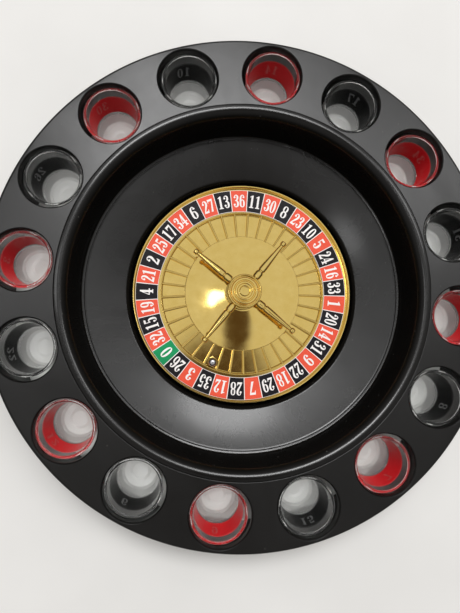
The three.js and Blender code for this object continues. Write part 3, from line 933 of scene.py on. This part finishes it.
def make_numerals():
    stand = Matrix.Rotation(-math.pi / 2, 4, "Z")
    spot = Matrix.Translation((NUMERAL_MIDDLE * MM, 0, (NUMBER_TOP - INK_SINK) * MM))
    pairs = []
    for index, number in enumerate(WHEEL_ORDER):
        text = str(number)
        squeeze = NUMERAL_SQUEEZE if len(text) > 1 else 1.0
        digits = number_parts(text, NUMERAL_HEIGHT, INK_THICKNESS, squeeze)
        place = ring_place() @ Matrix.Rotation(sector_angle(index), 4, "Z") @ spot @ stand
        pairs += [(mesh, place @ matrix) for mesh, matrix in digits]
    finished("numerals", joined_mesh("numerals", pairs), WHITE_INK, "wheel")


# ------ turret

ARM_SOCKET_RADIUS = 1.5


def arm_places():
    """One matrix for each arm. It lays an arm that is made standing along its own direction."""
    lying = Matrix.Rotation(math.pi / 2, 4, "Y")
    lift = Matrix.Translation((0, 0, ARM_HEIGHT * MM))
    turns = [Matrix.Rotation(angle, 4, "Z") for angle in around(ARM_COUNT, FIRST_ARM_ANGLE)]
    return [lift @ turn @ lying for turn in turns]


def make_column():
    foot, top = TURRET_FOOT, TURRET_TOP
    seat = top - 1.8
    shell = turned_mesh("column shell", [
        (TURRET_BORE, foot),
        (TURRET_RADIUS + 0.4, foot, 0.25),
        (TURRET_RADIUS + 0.4, foot + 1.2, 0.5),
        (TURRET_RADIUS - 0.4, foot + 1.6, 0.3),
        (TURRET_RADIUS - 1.1, foot + 2.9, 1.2),
        (TURRET_RADIUS - 1.1, foot + 3.8, 0.8),
        (TURRET_RADIUS - 0.1, foot + 5.0, 0.5),
        (TURRET_RADIUS, top - 1.0, 0.4),
        (TURRET_RADIUS - 0.35, top, 0.6),
        (CAP_RADIUS + 0.5, top, 0.45),
        (CAP_RADIUS + 0.3, top - 0.6, 0.1),
        (CAP_RADIUS + 0.3, seat),
        (TURRET_BORE, seat),
    ])
    socket = rod_mesh("socket", ARM_SOCKET_RADIUS, 0, TURRET_RADIUS + 1, 24)
    sockets = repeated_mesh("sockets", socket, arm_places())
    hole = rod_mesh("hole", SCREW_HOLE, foot - 1, foot + 5, 24)
    holes = repeated_mesh("holes", hole, SCREW_PLACES)
    column = combined("turret_body", shell, ("DIFFERENCE", sockets), ("DIFFERENCE", holes))
    finished("turret_body", column, TURRET_GOLD, "wheel", ["turret_column"], sharp=38)


def make_cap():
    top = TURRET_TOP
    cap = turned_mesh("turret_button", [
        (0, top - 1.6),
        (CAP_RADIUS, top - 1.6, 0.2),
        (CAP_RADIUS, top - 1.1, 0.25),
        (8.1, top - 1.0, 0.3),
        (7.7, top - 0.35, 0.4),
        (6.7, top - 0.3, 0.4),
        (6.3, top - 0.85, 0.25),
        (5.9, top - 0.85, 0.25),
        (5.5, top - 0.3, 0.4),
        (4.6, top - 0.25, 0.4),
        (4.2, top - 0.8, 0.25),
        (3.3, top - 0.8, 0.3),
        (2.7, top - 0.2, 0.4),
        (2.2, top - 0.25, 0.2),
        (0, top - 0.25),
    ])
    finished("turret_button", cap, TURRET_GOLD, "wheel", ["turret_cap"], sharp=60)


def make_arms():
    arm = turned_mesh("arm", [
        (0, TURRET_BORE + 1),
        (1.2, TURRET_BORE + 1, 0.2),
        (1.2, TURRET_RADIUS + 0.3),
        (2.1, TURRET_RADIUS + 0.3, 0.2),
        (2.35, TURRET_RADIUS + 1.2, 0.5),
        (2.35, 14.0, 0.5),
        (2.1, 14.9, 0.3),
        (1.75, 15.1, 0.1),
        (1.75, 15.6, 0.1),
        (2.15, 16.0, 0.3),
        (2.2, 19.0, 4),
        (1.2, ARM_TIP - 2.5, 1),
        (1.1, ARM_TIP - 1.6, 0.15),
        (1.75, ARM_TIP - 1.1, 0.8),
        (1.75, ARM_TIP + 1.1, 1.3),
        (0.55, ARM_TIP + 1.45, 0.4),
        (0, ARM_TIP + 1.45),
    ], 48)
    for i, place in enumerate(arm_places(), 1):
        finished(f"turret_handle_{i}", moved(arm, place), TURRET_GOLD, "wheel",
                 [f"turret_arm_{i}"], sharp=60)


# ------ pins, washers and screws

SPINDLE_HEAD = 4.5
CLIP_GROOVE_DEPTH = 0.5


def make_spindle():
    top = high_mm("spindle").z
    clip = low_mm("retaining_clip").z
    groove = SPINDLE_RADIUS - CLIP_GROOVE_DEPTH
    pin = turned_mesh("spindle_pin", [
        (0, BOSS_FOOT - 0.75),
        (1.2, BOSS_FOOT - 0.75, 0.1),
        (1.5, BOSS_FOOT - 1.2, 0.1),
        (SPINDLE_HEAD, BOSS_FOOT - 1.2, 0.4),
        (SPINDLE_HEAD, BOSS_FOOT - 0.2, 0.1),
        (SPINDLE_RADIUS, BOSS_FOOT - 0.2),
        (SPINDLE_RADIUS, clip - 0.2),
        (groove, clip - 0.2),
        (groove, clip + 0.8),
        (SPINDLE_RADIUS, clip + 0.8),
        (SPINDLE_RADIUS, top - 0.6, 0.1),
        (SPINDLE_RADIUS - 0.6, top, 0.2),
        (0, top),
    ], ROD_FACETS)
    finished("spindle_pin", pin, STEEL, "root", ["spindle"])


def sleeve_mesh(name, node, bore, inner_round, outer_round):
    """A plain ring with the outer size of its CAD node."""
    low, high = low_mm(node), high_mm(node)
    return turned_mesh(name, [
        (bore, low.z, inner_round),
        (high.x, low.z, outer_round),
        (high.x, high.z, outer_round),
        (bore, high.z, inner_round),
    ], ROD_FACETS)


def make_sleeves():
    washer = sleeve_mesh("nylon_washer", "thrust_washer", SPINDLE_RADIUS + FIT, 0.1, 0.15)
    finished("nylon_washer", washer, NYLON, "root", ["thrust_washer"])
    bush = sleeve_mesh("bronze_bush", "rotor_bush", SPINDLE_RADIUS + 0.25, 0.3, 0.3)
    finished("bronze_bush", bush, BRONZE, "wheel", ["rotor_bush"])


def dress_clip():
    """The CAD clip is fine as it is and only takes its steel."""
    clip = frame["nodes"]["retaining_clip"].data
    clip.materials.clear()
    clip.materials.append(STEEL)


def make_screws():
    """Pan-head screws that point up, with a recess in the head."""
    head, tip = low_mm("turret_screw_1").z, high_mm("turret_screw_1").z
    screw = turned_mesh("screw", [
        (0, head + 0.5),
        (0.7, head + 0.5),
        (0.8, head, 0.1),
        (1.8, head, 0.5),
        (1.8, head + 1.2, 0.1),
        (0.9, head + 1.5, 0.1),
        (0.9, tip - 0.8, 0.2),
        (0.3, tip, 0.1),
        (0, tip),
    ], 32)
    for i, place in enumerate(SCREW_PLACES, 1):
        finished(f"column_screw_{i}", moved(screw, place), STEEL, "wheel", [f"turret_screw_{i}"])


# ------ ball

def make_ball():
    bm = bmesh.new()
    bmesh.ops.create_icosphere(bm, subdivisions=5, radius=BALL_RADIUS * MM)
    bm.transform(Matrix.Translation(BALL_MIDDLE * MM))
    finished("steel_ball", mesh_of(bm, "steel_ball"), BALL_STEEL, "ball", ["ball"], sharp=90)


# ------ glasses

# the numbers on the two sides of each glass
GLASS_NUMBERS = [(14, 1), (10, 20), (30, 5), (26, 11), (3, 27), (22, 33), (12, 36), (6, 24), (9, 32),
                 (15, 28), (7, 25), (8, 29), (18, 21), (31, 13), (34, 16), (17, 2)]


def glass_outer(z):
    """The glass's outer radius at a height, in millimetres."""
    low, high = 0.6, GLASS_HEIGHT - 0.5
    return GLASS_FOOT_RADIUS + (GLASS_RIM_RADIUS - GLASS_FOOT_RADIUS) * (z - low) / (high - low)


def glass_inner(z):
    """The glass's inner radius at a height between its base and its rim, in millimetres."""
    low, high = GLASS_BASE + 1.2, GLASS_HEIGHT - 1.5
    low_radius = GLASS_FOOT_RADIUS - 1.1
    high_radius = GLASS_RIM_RADIUS - GLASS_WALL - 0.1
    return low_radius + (high_radius - low_radius) * (z - low) / (high - low)


def glass_place(index):
    angle = FIRST_GLASS_ANGLE + TAU * index / GLASS_COUNT - GLASS_SHIFT / HOLE_CIRCLE_RADIUS
    return at(HOLE_CIRCLE_RADIUS, angle)


def glass_mesh():
    foot = GLASS_FOOT_RADIUS
    inner_rim = GLASS_RIM_RADIUS - GLASS_WALL
    return turned_mesh("glass", [
        (0, 1.1),
        (6.5, 0.75, 6),
        (9.3, 0.0, 0.6),
        (foot - 0.6, 0.0, 0.7),
        (foot + 0.02, 0.9, 0.5),
        (GLASS_RIM_RADIUS, GLASS_HEIGHT - 0.7, 2),
        (GLASS_RIM_RADIUS, GLASS_HEIGHT, 0.7),
        (inner_rim, GLASS_HEIGHT, 0.7),
        (inner_rim - 0.1, GLASS_HEIGHT - 1.5, 1),
        (glass_inner(BAND_TOP), BAND_TOP),
        (glass_inner(BAND_BOTTOM), BAND_BOTTOM),
        (foot - 1.1, GLASS_BASE + 1.2, 1.6),
        (foot - 2.6, GLASS_BASE - 0.1, 1.4),
        (6.2, GLASS_BASE - 0.35, 1.5),
        (4.6, GLASS_BASE - 0.75, 1.5),
        (0, GLASS_BASE - 0.9),
    ])


def mark_painted_wall(mesh, place):
    """The inner wall over the paint takes the second glass, which mirrors the foot less."""
    mesh.materials.append(PAINTED_GLASS)
    back = place.inverted()
    for face in mesh.polygons:
        middle = back @ face.center / MM
        over_paint = BAND_BOTTOM < middle.z < BAND_TOP
        if over_paint and middle.xy.length < glass_inner(middle.z) + 0.4:
            face.material_index = 1


# depths below the glass's outer surface
BAND_INSIDE = 0.16
BAND_OUTSIDE = 0.06
OUTER_NUMERAL = 0.05
INNER_NUMERAL = 0.20


def band_mesh():
    return turned_mesh("band", [
        (glass_outer(BAND_BOTTOM) - BAND_INSIDE, BAND_BOTTOM),
        (glass_outer(BAND_BOTTOM) - BAND_OUTSIDE, BAND_BOTTOM),
        (glass_outer(BAND_TOP) - BAND_OUTSIDE, BAND_TOP),
        (glass_outer(BAND_TOP) - BAND_INSIDE, BAND_TOP),
    ])


GLASS_NUMERAL = (8.0, 0.03, 0.95, 0.1)  # height, thickness, squeeze and gap
LONGEST_EDGE = 1.2  # longer edges are divided before a number is bent


def wrapped_number(number, angle, depth):
    """A number bent round a glass, at a depth below the outer surface."""
    middle_z = (BAND_BOTTOM + BAND_TOP) / 2
    bm = bmesh.new()
    bm.from_mesh(joined_mesh("flat", number_parts(str(number), *GLASS_NUMERAL)))
    bmesh.ops.triangulate(bm, faces=bm.faces)
    long_edges = [edge for edge in bm.edges if edge.calc_length() > LONGEST_EDGE * MM]
    bmesh.ops.subdivide_edges(bm, edges=long_edges, cuts=2)
    for vertex in bm.verts:
        x, y, z = vertex.co / MM
        height_here = middle_z + y
        radius = glass_outer(height_here) - depth + z
        turn = angle + x / glass_outer(middle_z)
        vertex.co = polar(radius, turn, height_here)
    return mesh_of(bm, "wrapped")


def placed_numbers(name, numbers, depth, place):
    """The two numbers of a glass, on opposite sides."""
    first, second = numbers
    return joined_mesh(name, [(wrapped_number(first, 0.0, depth), place),
                              (wrapped_number(second, math.pi, depth), place)])


def make_glass(index, glass, band):
    """A shot glass with its painted band. Its numbers show from outside and, fainter, from inside."""
    number = f"{index + 1:02d}"
    body = f"glass_{number}"
    place = glass_place(index)
    black = index % 2 == 1
    clear = moved(glass, place)
    finished(f"shot_{body}", clear, GLASS, body, [body], sharp=60)
    mark_painted_wall(clear, place)
    paint = BLACK_ENAMEL if black else RED_ENAMEL
    finished(f"band_{number}", moved(band, place), paint, body, sharp=60)
    outside = placed_numbers("outside", GLASS_NUMBERS[index], OUTER_NUMERAL, place)
    finished(f"numeral_{number}", outside, WHITE_ENAMEL, body)
    inside = placed_numbers("inside", GLASS_NUMBERS[index], INNER_NUMERAL, place)
    faint = FAINT_ON_BLACK if black else FAINT_ON_RED
    finished(f"numeral_back_{number}", inside, faint, body)


def make_glasses():
    glass = glass_mesh()
    band = band_mesh()
    for index in range(GLASS_COUNT):
        make_glass(index, glass, band)


# ------ stage

FLOOR_SIZE = 6
FLOOR_HEIGHT = -0.0002  # just under the skirt, so that the two surfaces don't flicker


def make_floor():
    bpy.ops.mesh.primitive_plane_add(size=FLOOR_SIZE, location=(0, 0, FLOOR_HEIGHT))
    floor = bpy.context.object
    floor.name = "floor"
    m = Nodes("pale floor")
    cloud = m.noise(9, 3, 0.5)
    m.paint(m.spread(cloud, 0, 1), (0.74, 0.73, 0.71), (0.80, 0.79, 0.77))
    m.set(Roughness=0.7)
    floor.data.materials.append(m.material)


def aim(thing, target):
    thing.rotation_euler = (Vector(target) - thing.location).to_track_quat("-Z", "Y").to_euler()


LAMP_DISTANCE = 2.5
LAMP_TARGET = (0, 0, 0.03)


def area_light(name, direction, size, power, receivers):
    """A soft round light in a direction from the wheel, for the receivers only."""
    data = bpy.data.lights.new(name, "AREA")
    data.shape = "DISK"
    data.size = size
    data.energy = power
    light = bpy.data.objects.new(name, data)
    bpy.context.scene.collection.objects.link(light)
    light.location = Vector(direction).normalized() * LAMP_DISTANCE
    aim(light, LAMP_TARGET)
    light.visible_camera = False
    light.visible_transmission = False
    light.light_linking.receiver_collection = receivers
    return light


def things_with(name, materials):
    """A collection of the meshes that use any of these materials."""
    group = bpy.data.collections.new(name)
    for thing in bpy.context.scene.objects:
        if any(slot.material in materials for slot in thing.material_slots):
            group.objects.link(thing)
    return group


STUDIO_STRENGTH = 0.68
SKY_COLOR = (1.0, 0.985, 0.965)
WALL_SHARE = 0.16  # how bright the horizon is against the sky
WALL_COLOR = (WALL_SHARE, WALL_SHARE * 0.97, WALL_SHARE * 0.93)
WALL_HEIGHTS = (0.30, 0.80)  # the wall fades into the sky between these
FLAG_COLOR = (0.13, 0.085, 0.055)
FLAG_MIDDLE = (0.04, -0.225, 1)
FLAG_SIZE = (0.15, 0.235, 0.6)
FLAG_EDGE = (0.75, 1.15)  # the flag fades between these shares of its size


def make_world():
    """The studio is pale above and dimmer near the horizon, with one soft dark flag overhead."""
    world = bpy.data.worlds.new("studio")
    bpy.context.scene.world = world
    world.use_nodes = True
    graph = Graph(world.node_tree)
    direction = graph.add("ShaderNodeTexCoord").outputs["Generated"]
    split = graph.add("ShaderNodeSeparateXYZ")
    graph.link(direction, split.inputs[0])
    height = graph.spread(split.outputs["Z"], 0, 1, *WALL_HEIGHTS, "SMOOTHSTEP")
    sky = graph.mix(height, WALL_COLOR, SKY_COLOR)
    move = graph.add("ShaderNodeMapping", vector_type="TEXTURE", Location=FLAG_MIDDLE, Scale=FLAG_SIZE)
    graph.link(direction, move.inputs["Vector"])
    length = graph.add("ShaderNodeVectorMath", operation="LENGTH")
    graph.link(move.outputs["Vector"], length.inputs[0])
    edge = graph.spread(length.outputs["Value"], 0, 1, *FLAG_EDGE, "SMOOTHSTEP")
    background = graph.tree.nodes["Background"]
    graph.link(graph.mix(edge, FLAG_COLOR, sky), background.inputs["Color"])
    background.inputs["Strength"].default_value = STUDIO_STRENGTH


# name, direction, size in metres, watts on the dark pieces, watts on the pale ones
LAMPS = [("key", (-0.09, 0.40, 0.912), 0.80, 52.0, 27.0),
         ("second", (0.14, 0.42, 0.897), 0.60, 18.0, 9.0),
         ("third", (0.46, 0.28, 0.843), 0.60, 14.0, 6.0),
         ("left", (-0.42, 0.12, 0.900), 0.50, 6.0, 0.0),
         ("low", (0.12, 0.245, 0.962), 0.30, 9.0, 0.0),
         ("top", (-0.035, 0.02, 0.999), 0.12, 0.8, 0.0)]
GLASS_LAMP = ("glass lamp", (0.0, -0.02, 1.0), 1.8, 20.0)
WINDOW = ("window", (-0.245, 0.03, 0.969), 0.46, 1.5)
WINDOW_DEPTH = 0.24


def make_lights():
    """Lamps are stronger on dark plastic than on pale pieces. The gold mirrors the studio and one window."""
    dark = things_with("dark pieces", (DECK_PLASTIC, BOWL_PLASTIC, RED_ENAMEL, BLACK_ENAMEL))
    floor = bpy.data.objects["floor"].active_material
    pale = things_with("pale pieces", (WHITE_INK, STEEL, BALL_STEEL, BRONZE, NYLON, WHITE_ENAMEL,
                                       FAINT_ON_BLACK, FAINT_ON_RED, floor))
    for name, direction, size, on_dark, on_pale in LAMPS:
        area_light(f"{name} on dark", direction, size, on_dark, dark)
        if on_pale:
            area_light(f"{name} on pale", direction, size, on_pale, pale)
    area_light(*GLASS_LAMP, things_with("glasses", (GLASS,)))
    window = area_light(*WINDOW, things_with("gold pieces", (GOLD, TURRET_GOLD, FRET_GOLD)))
    window.data.shape = "ELLIPSE"
    window.data.size_y = WINDOW_DEPTH


# ------ camera

CAMERA_PLACE = (-0.0290, -0.0278, 0.3111)
CAMERA_TILT = (math.radians(3.80), math.radians(-4.12))
FOCAL_LENGTH = 28.19


def make_camera():
    data = bpy.data.cameras.new("camera")
    data.lens = FOCAL_LENGTH
    data.sensor_width = 36
    data.clip_start = 0.01
    camera = bpy.data.objects.new("camera", data)
    bpy.context.scene.collection.objects.link(camera)
    turn = Matrix.Rotation(CAMERA_TILT[0], 4, "X") @ Matrix.Rotation(CAMERA_TILT[1], 4, "Y")
    camera.matrix_world = Matrix.Translation(CAMERA_PLACE) @ turn
    bpy.context.scene.camera = camera


make_camera()
make_deck()
make_bowl()
make_rotor()
make_number_ring()
make_numerals()
make_column()
make_cap()
make_arms()
make_spindle()
make_sleeves()
dress_clip()
make_screws()
make_ball()
make_glasses()
make_floor()
make_world()
make_lights()

bpy.context.scene.view_settings.view_transform = "Standard"
